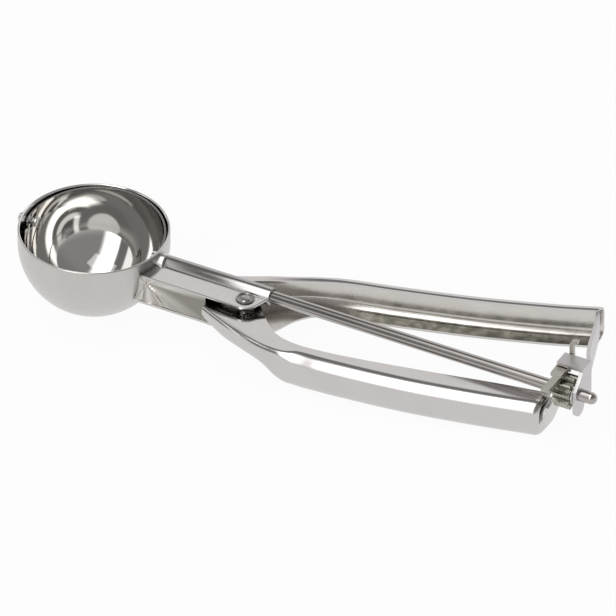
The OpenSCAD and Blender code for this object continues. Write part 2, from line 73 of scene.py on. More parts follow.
def steel(name, colour, rough, grain, depth, smudge=0.05):
    """Stainless steel: grain is the lines per metre along X, Y and Z, rough its range."""
    finish = bpy.data.materials.new(name)
    finish.use_nodes = True
    nodes, links = finish.node_tree.nodes, finish.node_tree.links
    shader = nodes["Principled BSDF"]
    shader.inputs["Metallic"].default_value = 1
    coords = nodes.new("ShaderNodeTexCoord")
    turned = nodes.new("ShaderNodeMapping")
    turned.inputs["Scale"].default_value = grain
    links.new(coords.outputs["Object"], turned.inputs["Vector"])
    lines = nodes.new("ShaderNodeTexNoise")
    lines.inputs["Scale"].default_value = 1
    lines.inputs["Detail"].default_value = 4
    links.new(turned.outputs["Vector"], lines.inputs["Vector"])
    clouds = nodes.new("ShaderNodeTexNoise")
    clouds.inputs["Scale"].default_value = 70
    clouds.inputs["Detail"].default_value = 3
    links.new(coords.outputs["Object"], clouds.inputs["Vector"])
    tint = nodes.new("ShaderNodeValToRGB")
    tint.color_ramp.elements[0].position = 0.3
    tint.color_ramp.elements[0].color = [c * (1 - smudge) for c in colour] + [1]
    tint.color_ramp.elements[1].position = 0.7
    tint.color_ramp.elements[1].color = [*colour, 1]
    links.new(clouds.outputs["Fac"], tint.inputs["Fac"])
    links.new(tint.outputs["Color"], shader.inputs["Base Color"])
    both = nodes.new("ShaderNodeMath")
    both.operation = "MULTIPLY"
    links.new(lines.outputs["Fac"], both.inputs[0])
    links.new(clouds.outputs["Fac"], both.inputs[1])
    spread = nodes.new("ShaderNodeMapRange")
    spread.inputs["From Min"].default_value = 0.12
    spread.inputs["From Max"].default_value = 0.4
    spread.inputs["To Min"].default_value = rough[0]
    spread.inputs["To Max"].default_value = rough[1]
    links.new(both.outputs["Value"], spread.inputs["Value"])
    links.new(spread.outputs["Result"], shader.inputs["Roughness"])
    relief = nodes.new("ShaderNodeBump")
    relief.inputs["Strength"].default_value = 0.5
    relief.inputs["Distance"].default_value = depth
    links.new(lines.outputs["Fac"], relief.inputs["Height"])
    links.new(relief.outputs["Normal"], shader.inputs["Normal"])
    return finish


def draw_profile(bm, start, *moves):
    """Draws a line in the XZ plane: (x, z) goes straight there, and (centre x, centre z,
    degrees, steps) swings round that centre."""
    here = bm.verts.new((start[0], 0, start[1]))
    for move in moves:
        if len(move) == 2:
            here = bmesh.ops.extrude_vert_indiv(bm, verts=[here])["verts"][0]
            here.co = (move[0], 0, move[1])
        else:
            x, z, degrees, steps = move
            here = bmesh.ops.spin(
                bm, geom=[here], cent=(x, 0, z), axis=(0, -1, 0),
                angle=math.radians(degrees), steps=steps,
            )["geom_last"][0]


def turn_profile(bm, steps):
    """Turns the drawn line round Z into a closed solid."""
    bmesh.ops.spin(
        bm, geom=bm.verts[:] + bm.edges[:], cent=(0, 0, 0), axis=(0, 0, 1),
        angle=full_turn, steps=steps, use_merge=True,
    )
    bmesh.ops.remove_doubles(bm, verts=bm.verts, dist=0.001 * mm)
    bmesh.ops.recalc_face_normals(bm, faces=bm.faces)


def place_piece(name, bm, finishes, body, nodes=(), crease=35):
    """Lays the finished mesh down with the tool and lets it ride on its CAD body."""
    bm.transform(lay_down)
    mesh = bpy.data.meshes.new(name)
    bm.to_mesh(mesh)
    bm.free()
    for finish in finishes:
        mesh.materials.append(finish)
    mesh.shade_smooth()
    mesh.set_sharp_from_angle(angle=math.radians(crease))
    piece = bpy.data.objects.new(name, mesh)
    bpy.context.scene.collection.objects.link(piece)
    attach(piece, body)
    if nodes:
        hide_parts(*nodes)
    return piece


satin_steel = steel("satin_steel", (0.56, 0.54, 0.525), (0.26, 0.36), (900, 900, 140), 0.004 * mm)
mirror_steel = steel("mirror_steel", (0.7, 0.69, 0.67), (0.03, 0.09), (300, 300, 2600), 0.0006 * mm)

bowl = bmesh.new()
rim_r = bowl_wall / 2
draw_profile(
    bowl, (0, -bowl_r), (0, 0, 90, 48), (bowl_r, collar_top - rim_r),
    (bowl_r - rim_r, collar_top - rim_r, 180, 10), (bowl_inner, 0), (0, 0, -90, 48),
)
turn_profile(bowl, 160)
for face in bowl.faces:
    outwards = face.calc_center_median()
    outwards.z = min(outwards.z, 0)
    face.material_index = 1 if face.normal.dot(outwards) < 0 else 0
place_piece("bowl_shell", bowl, [satin_steel, mirror_steel], "frame", ["bowl"])


# Pivot of the blade's far end: a turned pin riveted in the bowl's wall, with a round knob
# outside and a small collar inside. It is bright drawn steel, a little scratched.
knob_r = 2.3 * mm
knob_h = 3.59 * mm
pin_r = 1.4 * mm
pin_inner = 24.05 * mm
collar_r = 2 * mm
collar_h = 0.6 * mm
collar_round = 0.2 * mm
knob_seat = 0.4 * mm
bright_steel = steel("bright_steel", (0.68, 0.67, 0.66), (0.12, 0.24), (200, 2400, 2400), 0.002 * mm)
along_shaft = Matrix.Rotation(math.pi / 2, 4, "Y")
against_shaft = Matrix.Rotation(-math.pi / 2, 4, "Y")

pin = bmesh.new()
draw_profile(
    pin, (0, pin_inner - collar_h), (collar_r - collar_round, pin_inner - collar_h),
    (collar_r - collar_round, pin_inner - collar_h + collar_round, 90, 4), (collar_r, pin_inner),
    (pin_r, pin_inner), (pin_r, bowl_r), (knob_r, bowl_r - knob_seat),
    (knob_r, bowl_r + knob_h - knob_r), (0, bowl_r + knob_h - knob_r, 90, 12),
)
turn_profile(pin, 48)
pin.transform(against_shaft)
place_piece("blade_pivot_pin", pin, [bright_steel], "frame", ["far_pivot_pin"])


# Ferrule where the shaft goes into the bowl: a turned ring of bright steel, rounded at the
# end that stands out. It is sunk a little into the bowl's wall and brazed there.
shaft_r = 2.3 * mm
bore_r = shaft_r + 0.06 * mm
ring_r = 3.75 * mm
ring_end = bowl_r + 2.2 * mm
ring_round = 0.5 * mm
ring_start = bowl_r - 0.8 * mm
ring = bmesh.new()
draw_profile(
    ring, (bore_r, ring_start), (ring_r, ring_start),
    (ring_r, ring_end - ring_round), (ring_r - ring_round, ring_end - ring_round, 90, 6),
    (bore_r, ring_end), (bore_r, ring_start),
)
turn_profile(ring, 64)
ring.transform(along_shaft)
place_piece("shaft_ferrule", ring, [bright_steel], "frame", ["shaft_bush"])


# Far grip of the fixed handle: a polished steel sheet pressed into an open channel. Its web
# runs on beside the shaft as the neck's far wall, and its floor widens there into the neck's
# floor, which is welded to the bowl. The inside stays as drawn and dull, with painted shade at the
# floor.
sheet = 1 * mm
sheet_edge = 0.2 * mm
fixed_end = 180.4 * mm
neck_flat = 30 * mm
inner_floor_z = -17.2 * mm
polished_colour = (0.575, 0.558, 0.55)
polished_rough = (0.12, 0.2)
along_grain = (60, 1400, 1400)
polished_steel = steel("polished_steel", polished_colour, polished_rough, along_grain, 0.0014 * mm)
tool_axes = lay_down.to_3x3()


def paint_shade(finish, spot, axis, soft, colour):
    """Paints shade on a steel on the side of a spot that axis points to, across a soft, cloudy border.
    """
    nodes, links = finish.node_tree.nodes, finish.node_tree.links
    base = nodes["Principled BSDF"].inputs["Base Color"]
    coords = nodes.new("ShaderNodeTexCoord")
    away = nodes.new("ShaderNodeVectorMath")
    away.operation = "SUBTRACT"
    away.inputs[1].default_value = spot
    links.new(coords.outputs["Object"], away.inputs[0])
    beyond = nodes.new("ShaderNodeVectorMath")
    beyond.operation = "DOT_PRODUCT"
    beyond.inputs[1].default_value = axis
    links.new(away.outputs["Vector"], beyond.inputs[0])
    cloud = nodes.new("ShaderNodeTexNoise")
    cloud.inputs["Scale"].default_value = 260
    links.new(coords.outputs["Object"], cloud.inputs["Vector"])
    border = nodes.new("ShaderNodeMath")
    border.operation = "MULTIPLY_ADD"
    border.inputs[1].default_value = 2 * soft
    links.new(cloud.outputs["Fac"], border.inputs[0])
    links.new(beyond.outputs["Value"], border.inputs[2])
    share = nodes.new("ShaderNodeMapRange")
    share.inputs["From Min"].default_value = 0
    share.inputs["From Max"].default_value = 2 * soft
    links.new(border.outputs["Value"], share.inputs["Value"])
    mix = nodes.new("ShaderNodeMix")
    mix.data_type = "RGBA"
    links.new(share.outputs["Result"], mix.inputs["Factor"])
    unshaded, shaded, result = mix.inputs[6], mix.inputs[7], mix.outputs[2]
    links.new(base.links[0].from_socket, unshaded)
    shaded.default_value = (*colour, 1)
    links.new(result, base)


drawn_steel = steel("drawn_steel", (0.64, 0.615, 0.58), (0.18, 0.28), (30, 900, 900), 0.002 * mm, 0.12)
# Painted shade: every drawn inside is darkened below the height of the channels' floors.
paint_shade(drawn_steel, lay_down @ Vector((0, 0, inner_floor_z)), tool_axes @ Vector((0, 0, -1)),
      0.5 * mm, (0.12, 0.12, 0.1))


def through(points, x):
    """Height at x of a smooth curve through points."""
    at = max([0] + [i for i in range(len(points) - 1) if x >= points[i][0]])
    span = points[at + 1][0] - points[at][0]
    t = min(max((x - points[at][0]) / span, 0), 1)

    def slope(i):
        a, b = points[max(i - 1, 0)], points[min(i + 1, len(points) - 1)]
        return (b[1] - a[1]) / (b[0] - a[0]) * span

    return (
        points[at][1] * (2 * t**3 - 3 * t * t + 1) + slope(at) * (t**3 - 2 * t * t + t)
        + points[at + 1][1] * (3 * t * t - 2 * t**3) + slope(at + 1) * (t**3 - t * t)
    )


def in_mm(points):
    """Points measured in millimetres, in metres."""
    return [(x * mm, y * mm) for x, y in points]


def ease(x, start, end):
    """0 before start, 1 after end, and smooth between them."""
    t = min(max((x - start) / (end - start), 0), 1)
    return t * t * (3 - 2 * t)


flange_end, web_start, web_end, floor_start = 0.25, 0.42, 0.58, 0.75


def fold(v, w_top, w_floor, top, bottom, r_top, r_floor):
    """Depth from the web and height of the point a share v across a folded channel."""
    if v < flange_end:
        return r_top + (w_top - r_top) * (1 - v / flange_end), top
    if v < web_start:
        a = math.radians(90 + 90 * (v - flange_end) / (web_start - flange_end))
        return r_top * (1 + math.cos(a)), top - r_top * (1 - math.sin(a))
    if v < web_end:
        web = (v - web_start) / (web_end - web_start)
        return 0, top - r_top + (bottom + r_floor - top + r_top) * web
    if v < floor_start:
        a = math.radians(180 + 90 * (v - web_end) / (floor_start - web_end))
        return r_floor * (1 + math.cos(a)), bottom + r_floor * (1 + math.sin(a))
    return r_floor + (w_floor - r_floor) * (v - floor_start) / (1 - floor_start), bottom


def press_sheet(rows, columns, place, flip=False):
    """Presses a flat blank: place gives the spot of the point at shares u along, v across."""
    blank = bmesh.new()
    bmesh.ops.create_grid(blank, x_segments=rows, y_segments=columns, size=0.5)
    for vert in blank.verts:
        vert.co = place(vert.co.x + 0.5, vert.co.y + 0.5)
    if flip:
        bmesh.ops.reverse_faces(blank, faces=blank.faces)
    return blank


def round_edges(piece, width, segments, degrees):
    """Rounds the edges of a piece that turn by more than the degrees."""
    rounded = piece.modifiers.new("edges", "BEVEL")
    rounded.width = width
    rounded.segments = segments
    rounded.limit_method = "ANGLE"
    rounded.angle_limit = math.radians(degrees)
    rounded.harden_normals = True


def thicken(piece, wall, edge):
    """Gives a pressed sheet its thickness inwards, with its inside as drawn, and breaks its
    edges."""
    piece.data.materials.append(drawn_steel)
    solid = piece.modifiers.new("wall", "SOLIDIFY")
    solid.thickness = wall
    solid.offset = -1
    solid.material_offset = 1
    round_edges(piece, edge, 2, 50)


fixed_out = in_mm([(30, 3), (50, 3.3), (58, 6.4), (69, 15.4), (81, 24.4), (90.5, 29.4),
                   (108, 34.3), (137, 42.5), (165, 52), (180.4, 58.2)])
fixed_top = in_mm([(30, 0.8), (56, 0.8), (76, -2.6), (90, -3.5), (180.4, -3.5)])
fixed_foot = in_mm([(30, -11.7), (58, -11.9), (74, -13.6), (90, -17.6), (104, -18.5),
                    (180.4, -18.5)])
fixed_floor = in_mm([(30, 15), (50, 15.3), (58, 18.2), (66.5, 23.6), (72, 26.4), (76, 22.6),
                     (79, 15.5), (84, 10.4), (92, 8.6), (180.4, 8.6)])
fixed_flange = in_mm([(30, 4), (90, 5.2), (180.4, 5.2)])
fixed_bend = in_mm([(30, 1.6), (56, 1.8), (76, 2.6), (96, 4.2), (180.4, 4.2)])
fixed_lip = 0.2 * mm
lip_share = 0.32
least_web = 0.3 * mm


def bowl_edge(y, z):
    """How far along the shaft the middle of the bowl's wall is."""
    return math.sqrt((bowl_r - bowl_wall / 2) ** 2 - y ** 2 - min(z, 0) ** 2)


def fixed_section(x, v):
    """Place across the tool, and height, of the far grip's sheet at x."""
    top, foot, bend = (through(line, x) for line in (fixed_top, fixed_foot, fixed_bend))
    depth, z = fold(v, through(fixed_flange, x), through(fixed_floor, x), top, foot,
                    bend, min(bend, (top - foot) / 2 - least_web))
    if v < lip_share:
        z -= fixed_lip * ease(v, lip_share, 0) * ease(x, 60 * mm, 84 * mm)
    return through(fixed_out, x) - depth, z


def fixed_sheet(u, v):
    """The far grip's sheet, from the bowl's wall to its open end."""
    start = bowl_edge(*fixed_section(neck_flat, v))
    x = start + (fixed_end - start) * u
    return x, *fixed_section(x, v)


grip = press_sheet(180, 48, fixed_sheet)
fixed_grip = place_piece(
    "fixed_grip", grip, [polished_steel], "frame", ["fixed_handle"], crease=40
)
thicken(fixed_grip, sheet, sheet_edge)


# Top plate of the neck: the flat part of the handle's sheet, with a round end about the pivot
# rivet. It is welded to the bowl at its front, where it is painted dark, as the shade between the bowl
# and the plate.
plate_z = 1 * mm
neck_w = 12 * mm
tube_end = 74 * mm
pivot_x, pivot_y = 66.5 * mm, 6.9 * mm
end_r = neck_w - pivot_y + 0.6 * mm
end_from = math.radians(262)
bowl_shade_reach = 29.5 * mm
plate_steel = steel("plate_steel", polished_colour, polished_rough, (900, 140, 900), 0.002 * mm)
# Painted shade: the plate is darkened towards the bowl.
paint_shade(plate_steel, lay_down @ Vector((bowl_shade_reach, 0, 0)), tool_axes @ Vector((-1, 0.25, 0)),
      0.8 * mm, (0.16, 0.155, 0.14))

plate = bmesh.new()
draw_profile(
    plate, (bowl_edge(0, 0), 0), *[(bowl_edge(y * mm, 0), y * mm) for y in (-3, -6, -9, -12)],
    (52.5 * mm, -neck_w - 0.2 * mm),
    (pivot_x + end_r * math.cos(end_from), end_r * math.sin(end_from) - pivot_y),
    (pivot_x, -pivot_y, 66, 11), (tube_end, -2.4 * mm), (tube_end, 0), (bowl_edge(0, 0), 0),
)
bmesh.ops.remove_doubles(plate, verts=plate.verts, dist=0.001 * mm)
outline = bmesh.ops.contextual_create(plate, geom=plate.edges[:])["faces"]
plate.transform(Matrix.Translation((0, 0, plate_z)) @ Matrix.Rotation(-math.pi / 2, 4, "X"))
outline[0].normal_update()
if outline[0].normal.z < 0:
    bmesh.ops.reverse_faces(plate, faces=outline)
top_plate = place_piece("neck_plate", plate, [plate_steel], "frame", crease=30)
thicken(top_plate, sheet, 0.3 * mm)


# Near wall of the neck: the sheet folded down from the top plate's edge. Beside the weld it is
# drawn in by hand into shallow folds; its colour is painted shade, with painted highlights of the
# folds in streaks that run from the weld.
# Below the lever's flange it runs on as a tongue inside the lever's nose.
neck_depth = 11.7 * mm
wall_y = -neck_w + 0.15 * mm
wall_bend = 1.2 * mm
wall_foot = 4 * mm
wall_sheet = 0.9 * sheet
wall_end = 52.6 * mm
tongue_len = 7 * mm
tongue_top, tongue_full = 5.6 * mm, 6.6 * mm
wall_gap = 0.3 * mm
crease_x, crease_z = 27 * mm, 2 * mm
crease_depth = 0.35 * mm
dent_depth = 0.5 * mm


def near_wall(u, v):
    """From below the top plate straight down, round a bend, and in as the wall's foot."""
    depth, z = fold(web_start + (1 - web_start) * v, wall_foot, wall_foot, plate_z - sheet / 2,
                    -neck_depth, 0, wall_bend)
    start = bowl_edge(wall_y + depth, z) + wall_gap
    end = wall_end + tongue_len * ease(-z, tongue_top, tongue_full)
    x = start + (end - start) * u
    turn = math.atan2(-z - crease_z, x - crease_x)
    ripple = math.sin(7 * turn + 0.6) + 0.5 * math.sin(15 * turn + 2)
    pinch = ease(x, 50 * mm, 31 * mm) * ease(x - start, 0, 2.5 * mm)
    pinch *= ease(-z, 0, 3 * mm) * ease(-z, 11.5 * mm, 9 * mm)
    return x, wall_y + depth + (crease_depth * ripple + dent_depth) * pinch, z


def paint_shade_and_glints(finish, spot):
    """Paints shade over a steel, with painted highlights in streaks that run away from a weld's spot.
    """
    nodes, links = finish.node_tree.nodes, finish.node_tree.links
    coords = nodes.new("ShaderNodeTexCoord")
    away = nodes.new("ShaderNodeVectorMath")
    away.operation = "SUBTRACT"
    away.inputs[1].default_value = spot
    links.new(coords.outputs["Object"], away.inputs[0])
    parts = nodes.new("ShaderNodeSeparateXYZ")
    links.new(away.outputs["Vector"], parts.inputs[0])
    angle = nodes.new("ShaderNodeMath")
    angle.operation = "ARCTAN2"
    links.new(parts.outputs["Z"], angle.inputs[0])
    links.new(parts.outputs["X"], angle.inputs[1])
    rays = nodes.new("ShaderNodeTexNoise")
    rays.noise_dimensions = "1D"
    rays.inputs["Scale"].default_value = 2.4
    rays.inputs["Detail"].default_value = 2
    links.new(angle.outputs["Value"], rays.inputs["W"])
    length = nodes.new("ShaderNodeVectorMath")
    length.operation = "LENGTH"
    links.new(away.outputs["Vector"], length.inputs[0])
    fade = nodes.new("ShaderNodeMapRange")
    fade.inputs["From Min"].default_value = 4 * mm
    fade.inputs["From Max"].default_value = 24 * mm
    fade.inputs["To Min"].default_value = 0.12
    fade.inputs["To Max"].default_value = -0.08
    links.new(length.outputs["Value"], fade.inputs["Value"])
    glint = nodes.new("ShaderNodeMath")
    links.new(rays.outputs["Fac"], glint.inputs[0])
    links.new(fade.outputs["Result"], glint.inputs[1])
    tint = nodes.new("ShaderNodeValToRGB")
    stops = tint.color_ramp.elements
    stops[0].position, stops[0].color = 0.36, (0.26, 0.245, 0.22, 1)
    stops[1].position, stops[1].color = 0.74, (0.62, 0.6, 0.57, 1)
    middle = stops.new(0.54)
    middle.color = (0.42, 0.4, 0.37, 1)
    links.new(glint.outputs["Value"], tint.inputs["Fac"])
    links.new(tint.outputs["Color"], nodes["Principled BSDF"].inputs["Base Color"])


# Painted shade and highlights: the wall's colour stands in for the light and shade on its folds.
shaded_wall_steel = steel("shaded_wall_steel", (0.3, 0.28, 0.25), (0.14, 0.26), (260, 260, 260), 0.02 * mm, 0.3)
paint_shade_and_glints(shaded_wall_steel, lay_down @ Vector((28 * mm, -neck_w, -2.5 * mm)))
wall = press_sheet(96, 60, near_wall, flip=True)
neck_wall = place_piece("neck_wall", wall, [shaded_wall_steel], "frame", crease=180)
thicken(neck_wall, wall_sheet, sheet_edge)


# Shaft tube: the edge of the handle's sheet, rolled round the shaft from the ferrule to the
# end of the top plate. It is painted a little darker than the flat sheet, as shade that tones down its
# highlight.
running_fit = 0.05 * mm
tube_r = shaft_r + running_fit + sheet
tube_start = bowl_r + 2.9 * mm
shaded_tube_steel = steel("shaded_tube_steel", (0.4, 0.39, 0.385), (0.14, 0.24), along_grain, 0.0014 * mm)
tube = bmesh.new()
draw_profile(
    tube, (bore_r, tube_start), (tube_r - sheet_edge, tube_start),
    (tube_r - sheet_edge, tube_start + sheet_edge, 90, 3), (tube_r, tube_end - sheet_edge),
    (tube_r - sheet_edge, tube_end - sheet_edge, 90, 3), (bore_r, tube_end), (bore_r, tube_start),
)
turn_profile(tube, 64)
tube.transform(along_shaft)
place_piece("shaft_tube", tube, [shaded_tube_steel], "frame")


# Squeeze lever: a channel pressed from one sheet, polished outside. Its flange widens into
# the pivot eye, which is stepped down to pass under the top plate. Its rear end is drawn
# closed.
grip_drop = 3.5 * mm
lever_tip = 53 * mm
lever_end = 186 * mm
lever_low = 18.2 * mm
lever_out = in_mm([(53, 15.4), (59, 18.2), (66.5, 21.3), (75, 23.6), (84, 24.8), (98, 25.19),
                   (118, 23.6), (140, 20.8), (164, 16.2), (187, 10.9)])
lever_in = in_mm([(53, 6), (57, 4.6), (60, 3), (62.5, 1.2), (66.5, -0.3), (70.5, 2.2),
                  (73.5, 6.2), (76, 9), (79.5, 12.2), (84, 15.2), (90, 16.9), (98, 17.1),
                  (114, 15), (140, 9.9), (168, 3.9), (187, 0.2)])
lever_foot = in_mm([(53, -6.2), (62, -8), (74, -9), (82, -11), (88, -14.8), (95, -17.9),
                    (104, -18.2), (187, -18.2)])
lever_bend = in_mm([(53, 1.5), (85, 1.7), (91, 2.3), (95.5, 4.5), (104, 4.8), (187, 4.8)])
lever_floor = in_mm([(53, 0), (86, 0), (98, 3.5), (108, 9), (187, 9)])
eye_line = in_mm([(53, 11.4), (56.3, 11.9), (61.3, 12.8), (67.3, 12.3), (75.6, 8.5), (80, 2),
                  (84, -6)])
eye_drop = 0.7 * mm
nose_lift = 1.3 * mm
lift_from, lift_full = 86 * mm, 66 * mm
flange_share = 0.3
step_from, step_full = -0.2 * mm, 1.1 * mm
cap_r = 3 * mm
cap_inset = 2.2 * mm
cap_rim = 0.4 * mm
body_share = 0.94
least_flange = 0.1 * mm
cap_middle = -(grip_drop + lever_low) / 2


def lever_sheet(u, v):
    """The lever's sheet, from its nose to the rounding of its closed end."""
    x = lever_tip + (lever_end - lever_tip) * min(u / body_share, 1)
    out, bend = through(lever_out, x), through(lever_bend, x)
    foot = through(lever_foot, x)
    lift = nose_lift * ease(x, lift_from, lift_full)
    top = lift - grip_drop
    inner = out - through(lever_in, x)
    floor = max(through(lever_floor, x), bend * 0.9 + least_flange)
    depth, z = fold(v, max(inner, bend + least_flange), floor, top, foot,
                    bend, min(bend, (top - foot) / 2 - least_web))
    if v < flange_share:
        inside_eye = through(eye_line, x) - (out - depth)
        z -= (lift + eye_drop) * ease(inside_eye, step_from, step_full)
    if u > body_share:
        a = math.pi / 2 * (u - body_share) / (1 - body_share)
        inset = cap_inset * (1 - math.cos(a))
        depth = inner - (inner - depth) * (1 - inset / inner)
        z = cap_middle + (z - cap_middle) * (1 - 2 * inset / (lever_low - grip_drop))
        x += cap_r * math.sin(a)
    return x, -(out - depth), z


lever = press_sheet(200, 48, lever_sheet, flip=True)
last_row = max(vert.co.x for vert in lever.verts) - 0.001 * mm
cap_edges = [e for e in lever.edges if min(v.co.x for v in e.verts) > last_row]
cap = bmesh.ops.contextual_create(lever, geom=cap_edges)["faces"]
bmesh.ops.recalc_face_normals(lever, faces=lever.faces)
bmesh.ops.inset_individual(lever, faces=cap, thickness=cap_rim)
lever_piece = place_piece(
    "squeeze_grip", lever, [polished_steel], "lever", ["squeeze_lever"], crease=40
)
thicken(lever_piece, sheet, sheet_edge)


# Pivot rivet: a steel rivet with a flat head, upset in a ring, that carries the lever between
# the neck's top plate and floor. Below the plate sit the spring's bush, the torsion spring
# that opens the grips again, and a turned spacer under the lever.
rivet_steel = steel("rivet_steel", (0.38, 0.37, 0.36), (0.16, 0.3), (900, 900, 900), 0.003 * mm)
head_r = 3.7 * mm
head_h = 1.1 * mm
head_top = plate_z + 0.6 * mm
head_round = 0.45 * mm
groove_top = plate_z + 0.5 * mm
groove_low = plate_z + 0.12 * mm
foot_round = 0.6 * mm
rivet_gap = 0.06 * mm
shank_r = 1.9 * mm
floor_low = through(fixed_foot, pivot_x)
foot_low = floor_low - head_h
at_pivot = Matrix.Translation((pivot_x, -pivot_y, 0))

rivet = bmesh.new()
draw_profile(
    rivet, (0, head_top), (1.7 * mm, head_top), (2 * mm, groove_top), (2.3 * mm, groove_low),
    (2.8 * mm, groove_low), (3 * mm, groove_top), (head_r - head_round, head_top),
    (head_r - head_round, head_top - head_round, 90, 8), (head_r, plate_z + rivet_gap),
    (shank_r, plate_z + rivet_gap), (shank_r, floor_low - rivet_gap),
    (head_r, floor_low - rivet_gap), (head_r, foot_low + foot_round),
    (head_r - foot_round, foot_low + foot_round, 90, 8), (0, foot_low),
)
turn_profile(rivet, 64)
rivet.transform(at_pivot)
place_piece("pivot_rivet_turned", rivet, [rivet_steel], "frame", ["pivot_rivet"])


def turn_ring(name, r_in, r_out, low, high, place, finish, body, node):
    """A turned ring with broken outer edges, from low to high along its axis."""
    edge = 0.12 * mm
    blank = bmesh.new()
    draw_profile(
        blank, (r_in, low), (r_out - edge, low), (r_out, low + edge), (r_out, high - edge),
        (r_out - edge, high), (r_in, high), (r_in, low),
    )
    turn_profile(blank, 48)
    blank.transform(place)
    return place_piece(name, blank, [finish], body, [node])


eye_high = -grip_drop - eye_drop
eye_play = 0.1 * mm
bush_r, spacer_r = 2.4 * mm, 4 * mm
turn_ring("spring_bush_turned", shank_r + running_fit, bush_r, eye_high + eye_play,
          plate_z - sheet - running_fit, at_pivot, rivet_steel, "frame",
          "spring_bush")
turn_ring("lever_spacer_turned", shank_r + running_fit, spacer_r,
          floor_low + sheet + running_fit, eye_high - sheet - eye_play, at_pivot, bright_steel,
          "frame", "lever_spacer")

wire_r = 0.4 * mm
coil_r = 2.9 * mm
coil_gap = 0.35 * mm
coil_turns = 2.5
coil_steps = 90
leg_len = 3.8 * mm
# Painted shade: the spring is coloured near black, as the dark gap under the top plate where it sits.
spring_steel = steel("spring_steel", (0.1, 0.095, 0.09), (0.2, 0.32), (1500, 1500, 1500), 0.002 * mm)
coil_low = eye_high + coil_gap + wire_r
coil_lift = (plate_z - sheet) - eye_high - 2 * wire_r - 2 * coil_gap
spring = bmesh.new()
wire_end = Matrix.Translation((coil_r, -leg_len, coil_low)) @ Matrix.Rotation(math.pi / 2, 4, "X")
bmesh.ops.create_circle(spring, cap_ends=True, segments=12, radius=wire_r, matrix=wire_end)


def run_leg(end, reach):
    """Runs the wire straight on across the tool from its end face, and gives the new one."""
    leg = bmesh.ops.extrude_face_region(spring, geom=end)["geom"]
    corners = [part for part in leg if isinstance(part, bmesh.types.BMVert)]
    bmesh.ops.translate(spring, verts=corners, vec=(0, reach, 0))
    return [part for part in leg if isinstance(part, bmesh.types.BMFace)]


coil_end = bmesh.ops.spin(
    spring, geom=run_leg(spring.faces[:], leg_len), cent=(0, 0, 0), axis=(0, 0, 1),
    angle=coil_turns * full_turn, steps=coil_steps, dvec=(0, 0, coil_lift / coil_steps),
)["geom_last"]
run_leg([part for part in coil_end if isinstance(part, bmesh.types.BMFace)], -leg_len)
bmesh.ops.remove_doubles(spring, verts=spring.verts, dist=0.001 * mm)
inner_caps = [
    face for face in spring.faces
    if len(face.verts) == 12 and abs(abs(face.calc_center_median().y) - leg_len) > 0.1 * mm
]
bmesh.ops.delete(spring, geom=inner_caps, context="FACES_ONLY")
bmesh.ops.recalc_face_normals(spring, faces=spring.faces)
spring.transform(at_pivot)
place_piece(
    "return_spring_wound", spring, [spring_steel], "frame", ["return_spring"]
)


# Shaft: a ground and polished steel rod from the scraper's hub to the round tip behind the
# bracket. It turns in the neck's tube and in the bracket's bearing tongue.
rod_steel = steel("rod_steel", (0.42, 0.4, 0.385), (0.04, 0.09), (25, 2600, 2600), 0.0008 * mm)
shaft_start = bowl_inner - 2.6 * mm
shaft_end = 207.58 * mm
rod_edge = 0.2 * mm
rod = bmesh.new()
draw_profile(
    rod, (0, shaft_start), (shaft_r - rod_edge, shaft_start), (shaft_r, shaft_start + rod_edge),
    (shaft_r, shaft_end - shaft_r), (0, shaft_end - shaft_r, 90, 14),
)
turn_profile(rod, 64)
rod.transform(along_shaft)
place_piece("shaft_rod", rod, [rod_steel], "rotor", ["shaft"])


# Scraper: a thin spring-steel band that lies along the bowl's wall, with a round eye on the
# pivot pin and another clamped to the shaft by a small hub. It is polished on both sides.
def soften(node, name, finish, body, edge):
    """Takes a copy of a CAD solid, joins its triangles and rounds its edges."""
    solid = bmesh.new()
    solid.from_mesh(frame["nodes"][node].data)
    bmesh.ops.remove_doubles(solid, verts=solid.verts, dist=0.0005 * mm)
    bmesh.ops.dissolve_limit(
        solid, angle_limit=math.radians(0.5), verts=solid.verts, edges=solid.edges,
        delimit={"NORMAL"},
    )
    solid.transform(lay_down.inverted())
    piece = place_piece(name, solid, [finish], body, [node], crease=30)
    round_edges(piece, edge, 3, 35)


soften("scraper_blade", "scraper_band", mirror_steel, "rotor", 0.12 * mm)
soften("scraper_hub", "scraper_collar", bright_steel, "rotor", 0.12 * mm)


# Pinion: ten milled teeth on a short hub, pressed on the shaft. A thrust washer keeps it off
# the bracket. The teeth are cut bright and a little rough, but painted dark and olive, as the shade
# they lie in under the rack.
shaded_cut_steel = steel("shaded_cut_steel", (0.42, 0.41, 0.355), (0.2, 0.34), (2400, 500, 500), 0.004 * mm)
soften("pinion", "pinion_cut", shaded_cut_steel, "rotor", 0.1 * mm)
tongue_x = 199.4 * mm
turn_ring("thrust_washer_turned", shaft_r + running_fit, shaft_r + 2 * mm, tongue_x - 0.7 * mm,
          tongue_x - 0.1 * mm, along_shaft, bright_steel, "frame",
          "thrust_washer")


# Rack: stamped steel plate welded to the lever's end. It comes round the far side of the
# shaft and its toothed strip, with an upturned stop, runs over the pinion. The part that
# stands above the grips is painted darker than its foot, as shade.
shade_from = -3.6 * mm
stamped_steel = steel("stamped_steel", (0.62, 0.61, 0.6), (0.2, 0.3), (900, 900, 900), 0.003 * mm)
paint_shade(stamped_steel, lay_down @ Vector((0, 0, shade_from)), tool_axes @ Vector((0, 0, 1)),
      0.6 * mm, (0.4, 0.39, 0.345))
soften("rack", "rack_stamped", stamped_steel, "lever", 0.18 * mm)


# Rear bracket: one strip of matt stamped steel. Its tongue bears the shaft, its tab guides
# the rack from above and its arm is welded inside the fixed grip's end.
matt_steel = steel("matt_steel", (0.62, 0.6, 0.605), (0.38, 0.5), (500, 500, 500), 0.004 * mm)
soften("rear_bracket", "rear_bracket_bent", matt_steel, "frame", 0.35 * mm)


